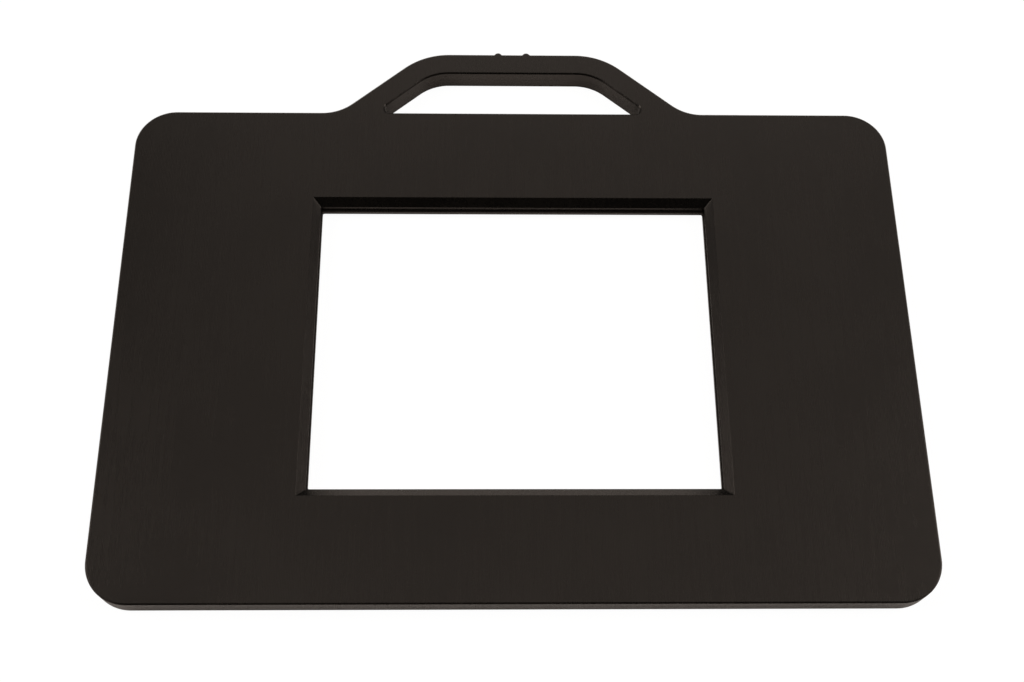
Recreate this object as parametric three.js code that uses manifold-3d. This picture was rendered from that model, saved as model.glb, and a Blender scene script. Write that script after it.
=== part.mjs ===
// Two-part negative carrier for 4 x 5 inch sheet film in a darkroom enlarger.
//
// Two flat frames lie face to face with the film between them. Dowel pins line the frames up,
// and pairs of disc magnets hold them closed. A loop handle, half of it on each frame, stands
// out at the back. The upper frame lifts straight off.
//
// Millimetres, +Z up, handle towards +Y. The origin is under the middle of the bounding box,
// on the plane that the carrier rests on.

import * as THREE from 'three';
import { mergeVertices } from 'three/addons/utils/BufferGeometryUtils.js';
import Module from 'manifold-3d';

// Plate: the outline that both frames share.
const PLATE_WIDTH = 240;
const PLATE_DEPTH = 159.2;
const PLATE_CORNER_RADIUS = 12.4;
const FRAME_THICKNESS = 3.875;
const EDGE_CHAMFER = 0.45;

// Handle: a bar of even width, bent into a flat-topped loop behind the plate.
const HANDLE_REACH = 22.7;
const HANDLE_BAR = 7.5;
const HANDLE_TOP_LENGTH = 57.8;
const HANDLE_SLANT = THREE.MathUtils.degToRad(40);
const HANDLE_BEND_RADIUS = 22.5;
const HANDLE_ROOT_RADIUS = 15;
const SLOT_LENGTH = 82.5;
const SLOT_END_RADIUS = 1.4;

// Two small ribs on the handle's outer edge, felt by a fingertip in the dark.
const RIB_SPACING = 9.2;
const RIB_RADIUS = 1.3;
const RIB_HEIGHT = 0.75;

// Gate: the picture opening. Each frame bevels its outer side and ends in an upright land.
// The lower gate is a little smaller, so the film's edges rest on a narrow ledge all round.
const GATE_WIDTH = 120.6;
const GATE_DEPTH = 92.2;
const GATE_BEVEL = 2.4;
const LOWER_GATE_LEDGE = 0.75;
const LOWER_GATE_SIDE_LEDGE = 0.35;
const LOWER_GATE_CORNER_RADIUS = 0.5;

// Film pocket: a shallow recess in the lower frame that locates one 4 x 5 inch sheet.
const FILM_POCKET_WIDTH = 127.6;
const FILM_POCKET_DEPTH = 102.2;
const FILM_POCKET_RECESS = 0.25;
const FILM_POCKET_CORNER_RADIUS = 1;

// Magnets: plated discs glued into blind pockets in both mating faces.
const MAGNET_RADIUS = 3;
const MAGNET_HEIGHT = 2;
const MAGNET_CHAMFER = 0.2;
const MAGNET_POCKET_CLEARANCE = 0.1;
const MAGNET_SPACING_X = 98;
const MAGNET_SPACING_Y = 66;

// Dowel pins: pressed into the lower frame, a loose fit in the upper one.
const PIN_RADIUS = 1.5;
const PIN_SEAT = 2.6;
const PIN_REACH = 2.4;
const PIN_CHAMFER = 0.35;
const PIN_SEAT_CLEARANCE = 0.04;
const PIN_HOLE_CLEARANCE = 0.2;
const PIN_SPACING_X = 50;
const PIN_SPACING_Y = 66;

const ARC_SEGMENTS = 6;
const ROUND_SEGMENTS = 24;
const CUT_MARGIN = 1;

const wasm = await Module();
wasm.setup();

// ---- solids ----

function toSolid(geometry) {
  const shell = geometry.clone();
  shell.deleteAttribute('normal');
  shell.deleteAttribute('uv');
  const merged = mergeVertices(shell);
  return new wasm.Manifold(new wasm.Mesh({
    numProp: 3,
    vertProperties: new Float32Array(merged.attributes.position.array),
    triVerts: new Uint32Array(merged.index.array),
  }));
}

function toGeometry(solid) {
  const mesh = solid.getMesh();
  const geometry = new THREE.BufferGeometry();
  geometry.setAttribute('position', new THREE.BufferAttribute(mesh.vertProperties, 3));
  geometry.setIndex(new THREE.BufferAttribute(mesh.triVerts, 1));
  geometry.computeVertexNormals();
  return geometry;
}

function box(width, depth, bottom, top) {
  const geometry = new THREE.BoxGeometry(width, depth, top - bottom);
  geometry.translate(0, 0, (bottom + top) / 2);
  return toSolid(geometry);
}

// A round piece standing on z = 0, with both of its rims chamfered.
function turnedGeometry(radius, height, chamfer) {
  const profile = [
    new THREE.Vector2(0, 0),
    new THREE.Vector2(radius - chamfer, 0),
    new THREE.Vector2(radius, chamfer),
    new THREE.Vector2(radius, height - chamfer),
    new THREE.Vector2(radius - chamfer, height),
    new THREE.Vector2(0, height),
  ];
  const geometry = new THREE.LatheGeometry(profile, ROUND_SEGMENTS);
  geometry.rotateX(Math.PI / 2);
  return geometry;
}

// A straight round hole cutter between two heights.
function drill(radius, x, y, bottom, top) {
  const geometry = new THREE.CylinderGeometry(radius, radius, top - bottom, ROUND_SEGMENTS);
  geometry.rotateX(Math.PI / 2);
  geometry.translate(x, y, (bottom + top) / 2);
  return toSolid(geometry);
}

// ---- outlines ----

// A closed outline through corners given as [x, y, radius], each rounded by a tangent arc.
function roundedOutline(corners, Outline) {
  const outline = new Outline();
  corners.forEach(([x, y, radius], index) => {
    const corner = new THREE.Vector2(x, y);
    const [beforeX, beforeY] = corners.at(index - 1);
    const [afterX, afterY] = corners[(index + 1) % corners.length];
    const back = new THREE.Vector2(beforeX, beforeY).sub(corner).normalize();
    const ahead = new THREE.Vector2(afterX, afterY).sub(corner).normalize();
    const halfAngle = Math.acos(back.dot(ahead)) / 2;
    const middle = back.clone().add(ahead).normalize();
    const centre = corner.clone().addScaledVector(middle, radius / Math.sin(halfAngle));
    const start = corner.clone().addScaledVector(back, radius / Math.tan(halfAngle)).sub(centre);
    const end = corner.clone().addScaledVector(ahead, radius / Math.tan(halfAngle)).sub(centre);
    const turnsRight = back.cross(ahead) > 0;
    outline.absarc(centre.x, centre.y, radius, start.angle(), end.angle(), turnsRight);
  });
  outline.closePath();
  return outline;
}

function mirrored(corners) {
  return [...corners, ...corners.map(([x, y, radius]) => [-x, y, radius]).reverse()];
}

function frameOutline() {
  const halfWidth = PLATE_WIDTH / 2;
  const front = -PLATE_DEPTH / 2;
  const back = PLATE_DEPTH / 2;
  const handleTop = back + HANDLE_REACH;
  const handleCorner = HANDLE_TOP_LENGTH / 2;
  const handleRoot = handleCorner + HANDLE_REACH / Math.tan(HANDLE_SLANT);
  return roundedOutline(mirrored([
    [halfWidth, front, PLATE_CORNER_RADIUS],
    [halfWidth, back, PLATE_CORNER_RADIUS],
    [handleRoot, back, HANDLE_ROOT_RADIUS],
    [handleCorner, handleTop, HANDLE_BEND_RADIUS],
  ]), THREE.Shape);
}

// The hand slot follows the loop's bar on three sides and the plate's back edge on the fourth.
function slotOutline() {
  const near = PLATE_DEPTH / 2;
  const far = PLATE_DEPTH / 2 + HANDLE_REACH - HANDLE_BAR;
  const innerCorner = HANDLE_TOP_LENGTH / 2 - HANDLE_BAR * Math.tan(HANDLE_SLANT / 2);
  const end = SLOT_LENGTH / 2;
  const endTop = far - (end - innerCorner) * Math.tan(HANDLE_SLANT);
  return roundedOutline(mirrored([
    [end, near, SLOT_END_RADIUS],
    [end, endTop, SLOT_END_RADIUS],
    [innerCorner, far, HANDLE_BEND_RADIUS - HANDLE_BAR],
  ]), THREE.Path);
}

function rectangleOutline(width, depth, radius) {
  const corners = [[width / 2, -depth / 2, radius], [width / 2, depth / 2, radius]];
  return roundedOutline(mirrored(corners), THREE.Shape);
}

function sharpRectangle(width, depth) {
  return new THREE.Shape([
    new THREE.Vector2(-width / 2, -depth / 2),
    new THREE.Vector2(width / 2, -depth / 2),
    new THREE.Vector2(width / 2, depth / 2),
    new THREE.Vector2(-width / 2, depth / 2),
  ]);
}

function prism(outline, bottom, top) {
  const geometry = new THREE.ExtrudeGeometry(outline, {
    depth: top - bottom,
    bevelEnabled: false,
    curveSegments: ARC_SEGMENTS,
  });
  geometry.translate(0, 0, bottom);
  return toSolid(geometry);
}

// ---- frames, each drawn with its mating face down on z = 0 and its outer face up ----

function chamferedBlank() {
  const outline = frameOutline();
  outline.holes.push(slotOutline());
  const geometry = new THREE.ExtrudeGeometry(outline, {
    depth: FRAME_THICKNESS - EDGE_CHAMFER + CUT_MARGIN,
    bevelThickness: EDGE_CHAMFER,
    bevelSize: EDGE_CHAMFER,
    bevelOffset: -EDGE_CHAMFER,
    bevelSegments: 1,
    curveSegments: ARC_SEGMENTS,
  });
  geometry.translate(0, 0, -CUT_MARGIN);
  const span = PLATE_WIDTH + PLATE_DEPTH;
  return toSolid(geometry).subtract(box(span, span, -PLATE_DEPTH, 0));
}

function handleRib(side) {
  const geometry = turnedGeometry(RIB_RADIUS, FRAME_THICKNESS + CUT_MARGIN, EDGE_CHAMFER);
  const wall = PLATE_DEPTH / 2 + HANDLE_REACH;
  geometry.translate(side * RIB_SPACING / 2, wall + RIB_HEIGHT - RIB_RADIUS, -CUT_MARGIN);
  return toSolid(geometry).subtract(box(PLATE_WIDTH, PLATE_WIDTH, -PLATE_DEPTH, 0));
}

// A flared cutter whose small end, at the land's top, has the gate's size. It flares at 45
// degrees and its corners are mitred.
function gateBevel(width, depth) {
  const flare = GATE_BEVEL + CUT_MARGIN;
  const geometry = new THREE.ExtrudeGeometry(sharpRectangle(width, depth), {
    depth: CUT_MARGIN,
    bevelThickness: flare,
    bevelSize: flare,
    bevelSegments: 1,
  });
  geometry.translate(0, 0, FRAME_THICKNESS - GATE_BEVEL + flare);
  return toSolid(geometry);
}

function magnetSites() {
  const sites = [];
  for (const row of [-1, 0, 1]) {
    for (const column of [-1, 0, 1]) {
      if (row !== 0 || column !== 0) {
        sites.push([column * MAGNET_SPACING_X, row * MAGNET_SPACING_Y]);
      }
    }
  }
  return sites;
}

function pinSites() {
  const sites = [];
  for (const row of [-1, 1]) {
    for (const column of [-1, 1]) {
      sites.push([column * PIN_SPACING_X, row * PIN_SPACING_Y]);
    }
  }
  return sites;
}

function frameBody(gateWidth, gateDepth, gateCut) {
  let frame = chamferedBlank();
  for (const side of [-1, 1]) {
    frame = frame.add(handleRib(side));
  }
  frame = frame.subtract(gateCut);
  frame = frame.subtract(gateBevel(gateWidth, gateDepth));
  const pocketRadius = MAGNET_RADIUS + MAGNET_POCKET_CLEARANCE;
  const pocketDepth = MAGNET_HEIGHT + 2 * MAGNET_POCKET_CLEARANCE;
  for (const [x, y] of magnetSites()) {
    frame = frame.subtract(drill(pocketRadius, x, y, -CUT_MARGIN, pocketDepth));
  }
  return frame;
}

function upperFrame() {
  const gate = box(GATE_WIDTH, GATE_DEPTH, -CUT_MARGIN, FRAME_THICKNESS);
  let frame = frameBody(GATE_WIDTH, GATE_DEPTH, gate);
  const holeRadius = PIN_RADIUS + PIN_HOLE_CLEARANCE;
  for (const [x, y] of pinSites()) {
    frame = frame.subtract(drill(holeRadius, x, y, -CUT_MARGIN, PIN_REACH + PIN_HOLE_CLEARANCE));
  }
  return frame;
}

function lowerFrame() {
  const gateDepth = GATE_DEPTH - 2 * LOWER_GATE_LEDGE;
  const gateWidth = GATE_WIDTH - 2 * LOWER_GATE_SIDE_LEDGE;
  const gateOutline = rectangleOutline(gateWidth, gateDepth, LOWER_GATE_CORNER_RADIUS);
  const gate = prism(gateOutline, -CUT_MARGIN, FRAME_THICKNESS);
  let frame = frameBody(gateWidth, gateDepth, gate);
  const pocketOutline = rectangleOutline(
    FILM_POCKET_WIDTH, FILM_POCKET_DEPTH, FILM_POCKET_CORNER_RADIUS);
  frame = frame.subtract(prism(pocketOutline, -CUT_MARGIN, FILM_POCKET_RECESS));
  const seatRadius = PIN_RADIUS + PIN_SEAT_CLEARANCE;
  for (const [x, y] of pinSites()) {
    frame = frame.subtract(drill(seatRadius, x, y, -CUT_MARGIN, PIN_SEAT + PIN_SEAT_CLEARANCE));
  }
  return frame;
}

// ---- materials ----

function blackPlastic() {
  return new THREE.MeshStandardMaterial({ color: 0x1c1a18, roughness: 0.45, metalness: 0 });
}

function nickelPlate() {
  return new THREE.MeshStandardMaterial({ color: 0xb9b7b2, roughness: 0.25, metalness: 1 });
}

function groundSteel() {
  return new THREE.MeshStandardMaterial({ color: 0x9a9ca0, roughness: 0.3, metalness: 1 });
}

// ---- assembly ----

function piece(name, geometry, material) {
  const mesh = new THREE.Mesh(geometry, material);
  mesh.name = name;
  return mesh;
}

function addMagnets(half, prefix, height) {
  magnetSites().forEach(([x, y], index) => {
    const geometry = turnedGeometry(MAGNET_RADIUS, MAGNET_HEIGHT, MAGNET_CHAMFER);
    const magnet = piece(`${prefix}_magnet_${index + 1}`, geometry, nickelPlate());
    magnet.position.set(x, y, height);
    half.add(magnet);
  });
}

function addPins(half) {
  pinSites().forEach(([x, y], index) => {
    const geometry = turnedGeometry(PIN_RADIUS, PIN_SEAT + PIN_REACH, PIN_CHAMFER);
    const pin = piece(`dowel_pin_${index + 1}`, geometry, groundSteel());
    pin.position.set(x, y, FRAME_THICKNESS - PIN_SEAT);
    half.add(pin);
  });
}

function lowerHalf() {
  const half = new THREE.Group();
  const frame = piece('lower_frame', toGeometry(lowerFrame()), blackPlastic());
  frame.rotation.y = Math.PI;
  frame.position.z = FRAME_THICKNESS;
  half.add(frame);
  addMagnets(half, 'lower', FRAME_THICKNESS - MAGNET_HEIGHT - MAGNET_POCKET_CLEARANCE);
  addPins(half);
  return half;
}

function upperHalf() {
  const half = new THREE.Group();
  half.add(piece('upper_frame', toGeometry(upperFrame()), blackPlastic()));
  addMagnets(half, 'upper', MAGNET_POCKET_CLEARANCE);
  half.position.z = FRAME_THICKNESS;
  return half;
}

const carrier = new THREE.Group();
carrier.add(lowerHalf(), upperHalf());
carrier.position.y = -(HANDLE_REACH + RIB_HEIGHT) / 2;

export default carrier;
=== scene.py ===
import math

import bmesh
import bpy
from mathutils import Matrix, Vector


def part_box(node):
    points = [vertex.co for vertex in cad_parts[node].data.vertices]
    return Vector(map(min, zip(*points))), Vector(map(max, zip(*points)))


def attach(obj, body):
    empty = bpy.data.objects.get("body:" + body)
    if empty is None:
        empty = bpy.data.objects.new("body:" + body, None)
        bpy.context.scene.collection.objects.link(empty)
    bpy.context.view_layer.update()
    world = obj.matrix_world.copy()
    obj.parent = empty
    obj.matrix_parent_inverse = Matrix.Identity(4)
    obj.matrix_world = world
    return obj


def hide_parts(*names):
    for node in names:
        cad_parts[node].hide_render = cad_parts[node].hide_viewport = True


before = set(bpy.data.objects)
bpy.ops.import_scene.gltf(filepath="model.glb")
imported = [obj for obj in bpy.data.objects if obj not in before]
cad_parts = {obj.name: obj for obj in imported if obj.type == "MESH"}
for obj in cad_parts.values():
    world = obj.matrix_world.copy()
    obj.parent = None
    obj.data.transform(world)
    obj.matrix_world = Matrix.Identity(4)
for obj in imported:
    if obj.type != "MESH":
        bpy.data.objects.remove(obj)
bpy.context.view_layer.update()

# Lengths below are in millimetres and meshes are built in metres.
MM = 0.001

# ---- camera ----

CAMERA_AT = (-9.485, -171.83, 377.863)
CAMERA_YAW = math.radians(3.128)
CAMERA_PITCH = math.radians(66.646)
CAMERA_ROLL = math.radians(2.963)
CAMERA_LENS = 47.35
CAMERA_SENSOR = 36.0


def add_camera():
    forward = Vector((
        math.sin(CAMERA_YAW) * math.cos(CAMERA_PITCH),
        math.cos(CAMERA_YAW) * math.cos(CAMERA_PITCH),
        -math.sin(CAMERA_PITCH),
    ))
    level = Vector((math.cos(CAMERA_YAW), -math.sin(CAMERA_YAW), 0))
    upright = level.cross(forward)
    right = level * math.cos(CAMERA_ROLL) + upright * math.sin(CAMERA_ROLL)
    up = upright * math.cos(CAMERA_ROLL) - level * math.sin(CAMERA_ROLL)
    turn = Matrix((right, up, -forward)).transposed().to_4x4()
    data = bpy.data.cameras.new("camera")
    data.lens = CAMERA_LENS
    data.sensor_width = CAMERA_SENSOR
    data.clip_start = 0.01
    data.clip_end = 50
    camera = bpy.data.objects.new("camera", data)
    camera.matrix_world = Matrix.Translation(Vector(CAMERA_AT) * MM) @ turn
    bpy.context.scene.collection.objects.link(camera)
    bpy.context.scene.camera = camera


add_camera()

# ---- materials ----


class Nodes:
    """A material's node tree, with short calls for the nodes that the finishes share."""

    def __init__(self, name):
        self.material = bpy.data.materials.new(name)
        self.material.use_nodes = True
        self.tree = self.material.node_tree
        self.shader = self.tree.nodes["Principled BSDF"]
        self.point = self.tree.nodes.new("ShaderNodeTexCoord").outputs["Object"]

    def wire(self, value, socket):
        if isinstance(value, bpy.types.NodeSocket):
            self.tree.links.new(value, socket)
        else:
            socket.default_value = value

    def math(self, operation, *values):
        node = self.tree.nodes.new("ShaderNodeMath")
        node.operation = operation
        for value, socket in zip(values, node.inputs):
            self.wire(value, socket)
        return node.outputs[0]

    def scaled(self, factors):
        node = self.tree.nodes.new("ShaderNodeVectorMath")
        node.operation = "MULTIPLY"
        self.wire(self.point, node.inputs[0])
        node.inputs[1].default_value = factors
        return node.outputs[0]

    def noise(self, size_mm, detail=2.0, rough=0.5, stretch=(1, 1, 1)):
        """Noise between 0 and 1 whose blotches are about size_mm across."""
        node = self.tree.nodes.new("ShaderNodeTexNoise")
        self.wire(self.scaled(stretch), node.inputs["Vector"])
        node.inputs["Scale"].default_value = 1 / (size_mm * MM)
        node.inputs["Detail"].default_value = detail
        node.inputs["Roughness"].default_value = rough
        return node.outputs["Fac"]

    def split(self, vector):
        node = self.tree.nodes.new("ShaderNodeSeparateXYZ")
        self.wire(vector, node.inputs[0])
        return node.outputs

    def ridges(self, coordinate, pitch_mm):
        """Round ridges between 0 and 1, repeated along a coordinate."""
        turns = self.math("MULTIPLY", coordinate, 2 * math.pi / (pitch_mm * MM))
        wave = self.math("SINE", turns)
        return self.math("MULTIPLY_ADD", wave, 0.5, 0.5)

    def spread(self, value, low, high, out_low, out_high):
        node = self.tree.nodes.new("ShaderNodeMapRange")
        self.wire(value, node.inputs["Value"])
        node.inputs["From Min"].default_value = low
        node.inputs["From Max"].default_value = high
        node.inputs["To Min"].default_value = out_low
        node.inputs["To Max"].default_value = out_high
        return node.outputs["Result"]

    def blend(self, amount, first, second):
        node = self.tree.nodes.new("ShaderNodeMix")
        node.data_type = "RGBA"
        self.wire(amount, node.inputs["Factor"])
        self.wire(first, node.inputs["A"])
        self.wire(second, node.inputs["B"])
        return node.outputs["Result"]

    def bump(self, height, distance_mm):
        node = self.tree.nodes.new("ShaderNodeBump")
        node.inputs["Strength"].default_value = 1
        node.inputs["Distance"].default_value = distance_mm * MM
        self.wire(height, node.inputs["Height"])
        self.wire(node.outputs["Normal"], self.shader.inputs["Normal"])


# Flat faces carry a fine raster and upright ones a stack of layers, like printed plastic.
RASTER_PITCH = 0.45
RASTER_WANDER = 0.08
LAYER_HEIGHT = 0.2
LAYER_WANDER = 0.02


def black_plastic():
    n = Nodes("black_plastic")
    normal = n.tree.nodes.new("ShaderNodeTexCoord").outputs["Normal"]
    facing_up = n.math("ABSOLUTE", n.split(normal)["Z"])
    flat = n.spread(facing_up, 0.9, 0.98, 0, 1)
    place = n.split(n.point)
    wander = n.noise(6, 1)
    raster = n.ridges(n.math("MULTIPLY_ADD", wander, RASTER_WANDER * MM, place["X"]), RASTER_PITCH)
    layers = n.ridges(n.math("MULTIPLY_ADD", wander, LAYER_WANDER * MM, place["Z"]), LAYER_HEIGHT)
    lines = n.math("ADD", n.math("MULTIPLY", raster, flat),
                   n.math("MULTIPLY", layers, n.math("SUBTRACT", 1.0, flat)))
    grain = n.noise(0.18, 3, 0.6)
    cloud = n.noise(28, 3, 0.55)
    streak = n.noise(1.1, 2, 0.6, stretch=(1, 0.04, 1))
    tone = n.math("ADD", n.math("MULTIPLY", cloud, 0.6), n.math("MULTIPLY", streak, 0.4))
    colour = n.blend(n.spread(tone, 0.35, 0.65, 0, 1),
                     (0.0030, 0.0026, 0.0022, 1), (0.0042, 0.0036, 0.0030, 1))
    dust = n.spread(n.noise(0.5, 1, 0.4), 0.8, 0.86, 0, 1)
    n.wire(n.blend(n.math("MULTIPLY", dust, 0.6), colour, (0.05, 0.046, 0.04, 1)),
           n.shader.inputs["Base Color"])
    rough = n.math("ADD", n.spread(tone, 0.3, 0.7, 0.205, 0.295), n.math("MULTIPLY", grain, 0.04))
    n.wire(rough, n.shader.inputs["Roughness"])
    n.shader.inputs["IOR"].default_value = 1.5
    n.shader.inputs["Specular Tint"].default_value = (1, 0.85, 0.75, 1)
    height = n.math("ADD", n.math("MULTIPLY", lines, 0.5), grain)
    n.bump(height, 0.015)
    return n.material


def nickel_plate():
    n = Nodes("nickel_plate")
    cloud = n.noise(1.4, 3)
    scuff = n.noise(0.25, 3, 0.6, stretch=(1, 0.08, 1))
    scuff_across = n.noise(0.22, 3, 0.6, stretch=(0.07, 1, 1))
    marks = n.math("MAXIMUM", n.spread(scuff, 0.58, 0.7, 0, 1),
                   n.spread(scuff_across, 0.6, 0.72, 0, 1))
    colour = n.blend(n.spread(cloud, 0.3, 0.7, 0, 1),
                     (0.6, 0.57, 0.52, 1), (0.7, 0.68, 0.64, 1))
    n.wire(colour, n.shader.inputs["Base Color"])
    n.shader.inputs["Metallic"].default_value = 1
    n.wire(n.math("MULTIPLY_ADD", marks, 0.18, n.spread(cloud, 0.3, 0.7, 0.16, 0.26)),
           n.shader.inputs["Roughness"])
    n.bump(n.math("MULTIPLY_ADD", marks, -0.6, cloud), 0.004)
    return n.material


def ground_steel():
    n = Nodes("ground_steel")
    cloud = n.noise(0.9, 2)
    marks = n.noise(0.09, 3, 0.65, stretch=(1, 1, 0.05))
    colour = n.blend(n.spread(marks, 0.3, 0.7, 0, 1),
                     (0.44, 0.44, 0.45, 1), (0.56, 0.56, 0.57, 1))
    n.wire(colour, n.shader.inputs["Base Color"])
    n.shader.inputs["Metallic"].default_value = 1
    n.wire(n.math("MULTIPLY_ADD", marks, 0.2, n.spread(cloud, 0.3, 0.7, 0.28, 0.38)),
           n.shader.inputs["Roughness"])
    n.bump(marks, 0.004)
    return n.material


MATERIALS = {
    "black_plastic": black_plastic(),
    "nickel_plate": nickel_plate(),
    "ground_steel": ground_steel(),
}

# ---- outlines ----

ARC_STEP = math.radians(4)


def rounded(corners, closed=True, step=ARC_STEP, fixed=None):
    """Points and right-hand normals along a path through corners given as (a, b, radius).

    Each corner is rounded by a tangent arc. A corner of radius 0 is kept only at an open
    path's ends. With fixed, every arc has that many points, whatever its angle.
    """
    samples = []
    count = len(corners)
    for index, (a, b, radius) in enumerate(corners):
        corner = Vector((a, b))
        if not closed and index in (0, count - 1):
            other = Vector(corners[1 if index == 0 else count - 2][:2])
            along = (other - corner if index == 0 else corner - other).normalized()
            samples.append((corner, Vector((along.y, -along.x))))
            continue
        arriving = (corner - Vector(corners[index - 1][:2])).normalized()
        leaving = (Vector(corners[(index + 1) % count][:2]) - corner).normalized()
        turn = math.atan2(arriving.cross(leaving), arriving.dot(leaving))
        reach = radius * math.tan(abs(turn) / 2)
        side = 1 if turn > 0 else -1
        start = corner - arriving * reach
        inward = Vector((-arriving.y, arriving.x)) * side
        centre = start + inward * radius
        steps = fixed - 1 if fixed else max(2, math.ceil(abs(turn) / step))
        for k in range(steps + 1):
            angle = turn * k / steps
            spoke = -inward
            spoke = Vector((
                spoke.x * math.cos(angle) - spoke.y * math.sin(angle),
                spoke.x * math.sin(angle) + spoke.y * math.cos(angle),
            ))
            samples.append((centre + spoke * radius, spoke * side))
    return samples


def both_sides(corners):
    return corners + [(-x, y, radius) for x, y, radius in reversed(corners)]


PLATE_WIDTH = 240.0
PLATE_DEPTH = 159.2
PLATE_CORNER = 12.4
HANDLE_REACH = 22.7
HANDLE_BAR = 7.5
HANDLE_TOP = 57.8
HANDLE_SLANT = math.radians(40)
HANDLE_BEND = 22.5
HANDLE_ROOT = 15.0
SLOT_LENGTH = 82.5
SLOT_END_RADIUS = 1.4
RIB_SPACING = 9.2
RIB_RADIUS = 1.3
RIB_HEIGHT = 0.75
RIB_FLANK = math.radians(50)
RIB_FILLET = 0.35


def rib_corners(x):
    """A rounded rib on the handle's outer edge, walked towards -X."""
    wall = PLATE_DEPTH / 2 + HANDLE_REACH
    peak = RIB_RADIUS / math.cos(RIB_FLANK) - (RIB_RADIUS - RIB_HEIGHT)
    half = peak / math.tan(RIB_FLANK)
    return [(x + half, wall, RIB_FILLET), (x, wall + peak, RIB_RADIUS),
            (x - half, wall, RIB_FILLET)]


def plate_loop():
    front, back = -PLATE_DEPTH / 2, PLATE_DEPTH / 2
    bend = HANDLE_TOP / 2
    root = bend + HANDLE_REACH / math.tan(HANDLE_SLANT)
    side = [
        (PLATE_WIDTH / 2, front, PLATE_CORNER),
        (PLATE_WIDTH / 2, back, PLATE_CORNER),
        (root, back, HANDLE_ROOT),
        (bend, back + HANDLE_REACH, HANDLE_BEND),
    ]
    other = [(-x, y, radius) for x, y, radius in reversed(side)]
    ribs = rib_corners(RIB_SPACING / 2) + rib_corners(-RIB_SPACING / 2)
    return rounded(side + ribs + other)


def slot_loop():
    near = PLATE_DEPTH / 2
    far = near + HANDLE_REACH - HANDLE_BAR
    bend = HANDLE_TOP / 2 - HANDLE_BAR * math.tan(HANDLE_SLANT / 2)
    end = SLOT_LENGTH / 2
    end_top = far - (end - bend) * math.tan(HANDLE_SLANT)
    return rounded(both_sides([
        (end, near, SLOT_END_RADIUS),
        (end, end_top, SLOT_END_RADIUS),
        (bend, far, HANDLE_BEND - HANDLE_BAR),
    ]))


def grown(loop, amount):
    return [point + normal * amount for point, normal in loop]


def rectangle(width, depth, radius, points=9):
    loop = rounded(both_sides([(width / 2, -depth / 2, radius),
                               (width / 2, depth / 2, radius)]), fixed=points)
    return [point for point, _ in loop]


def circle(x, y, radius, points=48):
    return [Vector((x + radius * math.cos(2 * math.pi * k / points),
                    y + radius * math.sin(2 * math.pi * k / points)))
            for k in range(points)]


def profile(corners, step=math.radians(12)):
    """A wall's section as (sideways, height) pairs, with its corners rounded."""
    return [tuple(point) for point, _ in rounded(corners, closed=False, step=step)]


# ---- meshes ----


def add_ring(bm, points, height, place):
    return [bm.verts.new(place(point, height)) for point in points]


def skin(bm, rings):
    """Quads between each ring and the next."""
    for lower, upper in zip(rings, rings[1:]):
        for k in range(len(lower)):
            after = (k + 1) % len(lower)
            bm.faces.new((lower[k], lower[after], upper[after], upper[k]))


def fill(bm, rings):
    """A flat face whose outline and holes are rings."""
    edges = []
    for ring in rings:
        for k in range(len(ring)):
            edges.append(bm.edges.get((ring[k - 1], ring[k])))
    bmesh.ops.triangle_fill(bm, edges=edges, use_beauty=True, use_dissolve=False,
                            normal=(0, 0, 1))


SHARP_ANGLE = math.radians(50)
FLAT_FACE_WEIGHT = 100


def add_piece(name, bm, body, slot):
    bmesh.ops.recalc_face_normals(bm, faces=bm.faces)
    for face in bm.faces:
        face.smooth = True
    mesh = bpy.data.meshes.new(name)
    bm.to_mesh(mesh)
    bm.free()
    mesh.set_sharp_from_angle(angle=SHARP_ANGLE)
    mesh.materials.append(MATERIALS[slot])
    piece = bpy.data.objects.new(name, mesh)
    bpy.context.scene.collection.objects.link(piece)
    weighted = piece.modifiers.new("weighted normals", "WEIGHTED_NORMAL")
    weighted.keep_sharp = True
    weighted.weight = FLAT_FACE_WEIGHT
    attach(piece, body)
    return piece


# ---- frames ----

EDGE_CHAMFER = 0.45
EDGE_ROUND = 0.14
SEAM_ROUND = 0.05
RIM = 0.3
GATE_WIDTH = 120.6
GATE_DEPTH = 92.2
GATE_BEVEL = 2.4
GATE_CORNER = 0.12
LOWER_GATE_LEDGE = 0.75
LOWER_GATE_SIDE_LEDGE = 0.35
LOWER_GATE_CORNER = 0.5
POCKET_WIDTH = 127.6
POCKET_DEPTH = 102.2
POCKET_RECESS = 0.25
POCKET_CORNER = 1.0
MAGNET_POCKET_RADIUS = 3.1
MAGNET_POCKET_DEPTH = 2.2
PIN_HOLE_RADIUS = 1.7
PIN_HOLE_DEPTH = 2.6
PIN_SEAT_RADIUS = 1.54
PIN_SEAT_DEPTH = 2.64
BEVEL_START = 0.03
POCKET_ROUND = 0.04
HOLE_FLOOR_ROUND = 0.1
MAGNET_POCKET_ROUND = 0.12
PIN_HOLE_ROUND = 0.18
MAGNETS_PER_FRAME = 8
PINS = 4


def node_place(node):
    """A node's middle in the plane, and its lowest z, in millimetres."""
    low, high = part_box(node)
    middle = (low + high) / 2
    return middle.x / MM, middle.y / MM, low.z / MM


def numbered(prefix, count):
    return [f"{prefix}_{number}" for number in range(1, count + 1)]


def wall_rings(bm, loop, section, place):
    return [add_ring(bm, grown(loop, side), height, place) for side, height in section]


def blind_hole(bm, x, y, radius, depth, round_over, place):
    """A round hole with a flat floor. Returns its ring on the mating face."""
    section = profile([(radius + RIM, 0, 0), (radius, 0, round_over),
                       (radius, depth, HOLE_FLOOR_ROUND), (radius - RIM, depth, 0)])
    rings = [add_ring(bm, circle(x, y, r), height, place) for r, height in section]
    skin(bm, rings)
    fill(bm, rings[-1:])
    return rings[0]


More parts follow.
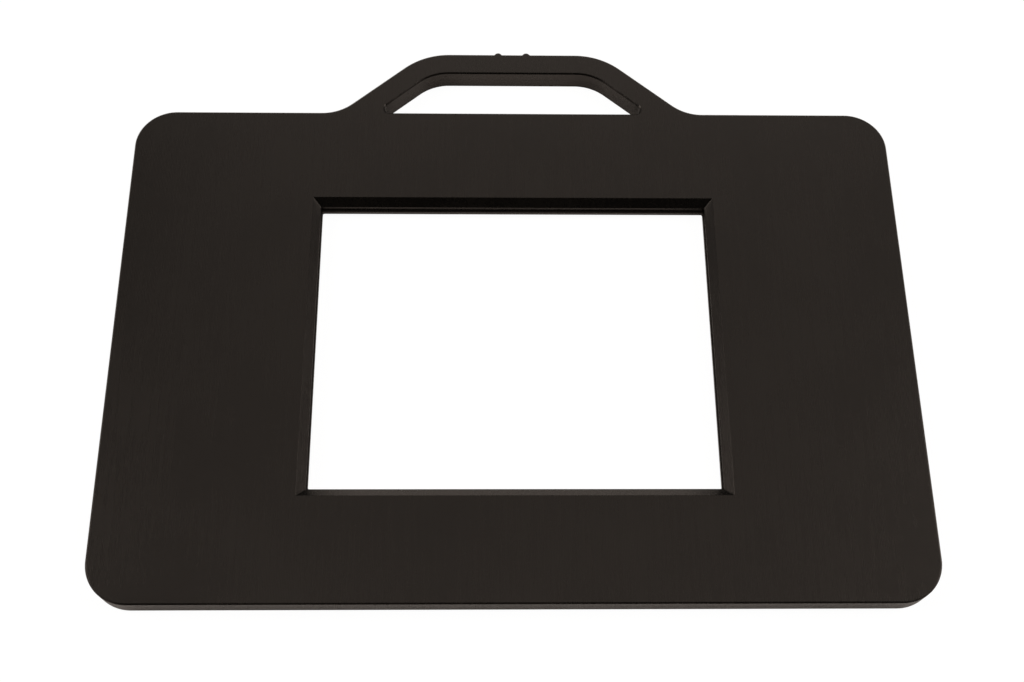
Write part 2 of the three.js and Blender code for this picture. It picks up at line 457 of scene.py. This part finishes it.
def frame_mesh(node, mating_up, gate, land_corner, recess, pin_radius, pin_depth):
    """One frame, whose gate is (width, depth) across at its land.

    Heights run from 0 at the mating face to the thickness at the outer face.
    """
    low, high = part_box(node)
    centre_y = low.y / MM + PLATE_DEPTH / 2
    thickness = (high.z - low.z) / MM

    def place(point, height):
        z = high.z - height * MM if mating_up else low.z + height * MM
        return (point.x * MM, (point.y + centre_y) * MM, z)

    bm = bmesh.new()
    section = profile([
        (-RIM, 0, 0),
        (0, 0, SEAM_ROUND),
        (0, thickness - EDGE_CHAMFER, EDGE_ROUND),
        (-EDGE_CHAMFER, thickness, EDGE_ROUND),
        (-EDGE_CHAMFER - RIM, thickness, 0),
    ])
    outer = wall_rings(bm, plate_loop(), section, place)
    skin(bm, outer)
    slot = wall_rings(bm, slot_loop(), [(-side, height) for side, height in section], place)
    skin(bm, slot)

    land_end = thickness - GATE_BEVEL
    land = profile([(RIM, recess, 0), (0, recess, SEAM_ROUND), (0, land_end, 0)])
    bevel = profile([(BEVEL_START, land_end + BEVEL_START, 0),
                     (GATE_BEVEL, thickness, EDGE_ROUND), (GATE_BEVEL + RIM, thickness, 0)])
    width, depth = gate
    gate_rings = []
    for grow, height in land:
        points = rectangle(width + 2 * grow, depth + 2 * grow, land_corner + grow)
        gate_rings.append(add_ring(bm, points, height, place))
    for grow, height in bevel:
        points = rectangle(width + 2 * grow, depth + 2 * grow, GATE_CORNER)
        gate_rings.append(add_ring(bm, points, height, place))
    skin(bm, gate_rings)
    fill(bm, [outer[-1], slot[-1], gate_rings[-1]])

    openings = [slot[0]]
    if recess:
        pocket = []
        for grow, height in profile([(RIM, 0, 0), (0, 0, POCKET_ROUND),
                                     (0, recess, POCKET_ROUND), (-RIM, recess, 0)]):
            points = rectangle(POCKET_WIDTH + 2 * grow, POCKET_DEPTH + 2 * grow,
                               POCKET_CORNER + grow)
            pocket.append(add_ring(bm, points, height, place))
        skin(bm, pocket)
        fill(bm, [pocket[-1], gate_rings[0]])
        openings.append(pocket[0])
    else:
        openings.append(gate_rings[0])
    for magnet in numbered("upper_magnet", MAGNETS_PER_FRAME):
        x, y, _ = node_place(magnet)
        openings.append(blind_hole(bm, x, y - centre_y, MAGNET_POCKET_RADIUS,
                                   MAGNET_POCKET_DEPTH, MAGNET_POCKET_ROUND, place))
    for pin in numbered("dowel_pin", PINS):
        x, y, _ = node_place(pin)
        openings.append(blind_hole(bm, x, y - centre_y, pin_radius, pin_depth,
                                   PIN_HOLE_ROUND, place))
    fill(bm, [outer[0], *openings])
    return bm


def add_frames():
    lower_gate = (GATE_WIDTH - 2 * LOWER_GATE_SIDE_LEDGE, GATE_DEPTH - 2 * LOWER_GATE_LEDGE)
    lower = frame_mesh("lower_frame", True, lower_gate, LOWER_GATE_CORNER, POCKET_RECESS,
                       PIN_SEAT_RADIUS, PIN_SEAT_DEPTH)
    piece = add_piece("lower_frame_moulding", lower, "lower_half", "black_plastic")
    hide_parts("lower_frame")
    upper = frame_mesh("upper_frame", False, (GATE_WIDTH, GATE_DEPTH), GATE_CORNER, 0.0,
                       PIN_HOLE_RADIUS, PIN_HOLE_DEPTH)
    piece = add_piece("upper_frame_moulding", upper, "upper_half", "black_plastic")
    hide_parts("upper_frame")


add_frames()

# ---- magnets and pins ----

DISC_INSET = 0.8
DISC_ROUND = 0.22
PIN_INSET = 0.9
PIN_LEAD_IN = 0.3
PIN_LEAD_IN_HEIGHT = 0.5
PIN_NOSE = 0.4
PIN_NOSE_HEIGHT = 0.45


def turned_mesh(node, section_corners, points=64):
    """A turned piece on a node's own axis, from a section of (radius, height) corners."""
    x, y, bottom = node_place(node)

    def place(point, height):
        return (point.x * MM, point.y * MM, (bottom + height) * MM)

    bm = bmesh.new()
    rings = [add_ring(bm, circle(x, y, radius, points), height, place)
             for radius, height in profile(section_corners, math.radians(15))]
    skin(bm, rings)
    fill(bm, rings[:1])
    fill(bm, rings[-1:])
    return bm


def turned_size(node):
    """A turned node's radius and height, in millimetres."""
    low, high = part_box(node)
    return (high.x - low.x) / 2 / MM, (high.z - low.z) / MM


def add_magnet(node, body):
    radius, height = turned_size(node)
    mesh = turned_mesh(node, [(radius - DISC_INSET, 0, 0), (radius, 0, DISC_ROUND),
                              (radius, height, DISC_ROUND), (radius - DISC_INSET, height, 0)])
    piece = add_piece(node + "_disc", mesh, body, "nickel_plate")
    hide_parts(node)


def add_pin(node):
    """A pin with a small lead-in at its foot and a rounded nose."""
    radius, height = turned_size(node)
    mesh = turned_mesh(node, [
        (radius - PIN_INSET, 0, 0),
        (radius - PIN_LEAD_IN, 0, 0.08),
        (radius, PIN_LEAD_IN_HEIGHT, 0.2),
        (radius, height - PIN_NOSE_HEIGHT, 0.45),
        (radius - PIN_NOSE, height, 0.25),
        (radius - PIN_INSET, height, 0),
    ])
    piece = add_piece(node + "_rod", mesh, "lower_half", "ground_steel")
    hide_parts(node)


def add_fittings():
    for half in ("lower", "upper"):
        for node in numbered(f"{half}_magnet", MAGNETS_PER_FRAME):
            add_magnet(node, f"{half}_half")
    for node in numbered("dowel_pin", PINS):
        add_pin(node)


add_fittings()

# ---- studio ----

# Lengths in this section are in metres. The glow and the shade are what the camera sees of
# the floor, and the colour is what the object reflects.
FLOOR_COLOUR = (0.85, 0.78, 0.73, 1)
FLOOR_GLOW = 0.96
FLOOR_SHADE = (0.09, 0.087, 0.084, 1)
FLOOR_HALF_SIZE = 3
FLOOR_GAP = 0.02 * MM
LIGHT_COLOUR = (1, 0.97, 0.94)

# Name, place, width, depth and watts. Every panel faces the object.
SOFTBOXES = [
    ("key_softbox", (0.0, -0.3, 1.2), 1.0, 0.5, 1.8),
    ("left_softbox", (-1.0, 0.05, 0.8), 0.7, 0.7, 6.3),
    ("right_softbox", (1.0, 0.05, 0.8), 0.7, 0.7, 5.8),
    ("left_strip", (-1.15, 0.55, 0.22), 1.4, 0.4, 0.62),
    ("right_strip", (1.15, 0.55, 0.22), 1.4, 0.4, 0.62),
    ("front_left_strip", (-0.9, -0.9, 0.22), 0.8, 0.3, 0.22),
    ("front_right_strip", (0.9, -0.9, 0.22), 0.8, 0.3, 0.22),
    ("front_strip", (0.0, -1.3, 0.2), 1.0, 0.3, 0.03),
    ("back_strip", (0.0, 1.3, 0.28), 1.5, 0.4, 0.38),
    ("overhead_panel", (0.08, 0.45, 1.05), 1.2, 1.2, 2.1),
    ("back_panel", (0.05, 1.0, 0.85), 1.4, 0.4, 1.25),
]


def mix_for_camera(tree, unseen, seen, output):
    """Shows one shader to the camera and another to reflections and bounced light."""
    path = tree.nodes.new("ShaderNodeLightPath")
    mix = tree.nodes.new("ShaderNodeMixShader")
    tree.links.new(path.outputs["Is Camera Ray"], mix.inputs["Fac"])
    tree.links.new(unseen.outputs[0], mix.inputs[1])
    tree.links.new(seen.outputs[0], mix.inputs[2])
    tree.links.new(mix.outputs[0], tree.nodes[output].inputs["Surface"])


def add_floor():
    """A pale table top, overexposed to the camera so that its shadows are faint."""
    n = Nodes("pale_floor")
    n.shader.inputs["Base Color"].default_value = FLOOR_COLOUR
    n.shader.inputs["Roughness"].default_value = 0.9
    n.shader.inputs["Specular IOR Level"].default_value = 0.0
    glow = n.tree.nodes.new("ShaderNodeEmission")
    glow.inputs["Strength"].default_value = FLOOR_GLOW
    shade = n.tree.nodes.new("ShaderNodeBsdfDiffuse")
    shade.inputs["Color"].default_value = FLOOR_SHADE
    washed = n.tree.nodes.new("ShaderNodeAddShader")
    n.tree.links.new(glow.outputs[0], washed.inputs[0])
    n.tree.links.new(shade.outputs[0], washed.inputs[1])
    mix_for_camera(n.tree, n.shader, washed, "Material Output")
    bm = bmesh.new()
    bmesh.ops.create_grid(bm, x_segments=8, y_segments=8, size=FLOOR_HALF_SIZE)
    bmesh.ops.translate(bm, verts=bm.verts, vec=(0, 0, -FLOOR_GAP))
    mesh = bpy.data.meshes.new("floor")
    bm.to_mesh(mesh)
    bm.free()
    mesh.materials.append(n.material)
    floor = bpy.data.objects.new("floor", mesh)
    bpy.context.scene.collection.objects.link(floor)


def add_softbox(name, at, width, depth, watts):
    data = bpy.data.lights.new(name, "AREA")
    data.shape = "RECTANGLE"
    data.size = width
    data.size_y = depth
    data.energy = watts
    data.color = LIGHT_COLOUR
    lamp = bpy.data.objects.new(name, data)
    place = Vector(at)
    lamp.matrix_world = (Matrix.Translation(place)
                         @ (-place).to_track_quat("-Z", "Y").to_matrix().to_4x4())
    lamp.visible_camera = False
    bpy.context.scene.collection.objects.link(lamp)


def add_world():
    """A pale backdrop that gives no light of its own."""
    world = bpy.data.worlds.new("studio")
    world.use_nodes = True
    tree = world.node_tree
    room = tree.nodes["Background"]
    room.inputs["Strength"].default_value = 0
    seen = tree.nodes.new("ShaderNodeBackground")
    seen.inputs["Color"].default_value = (1, 1, 1, 1)
    seen.inputs["Strength"].default_value = FLOOR_GLOW
    mix_for_camera(tree, room, seen, "World Output")
    bpy.context.scene.world = world


add_floor()
for softbox in SOFTBOXES:
    add_softbox(*softbox)
add_world()
bpy.context.scene.view_settings.view_transform = "Standard"
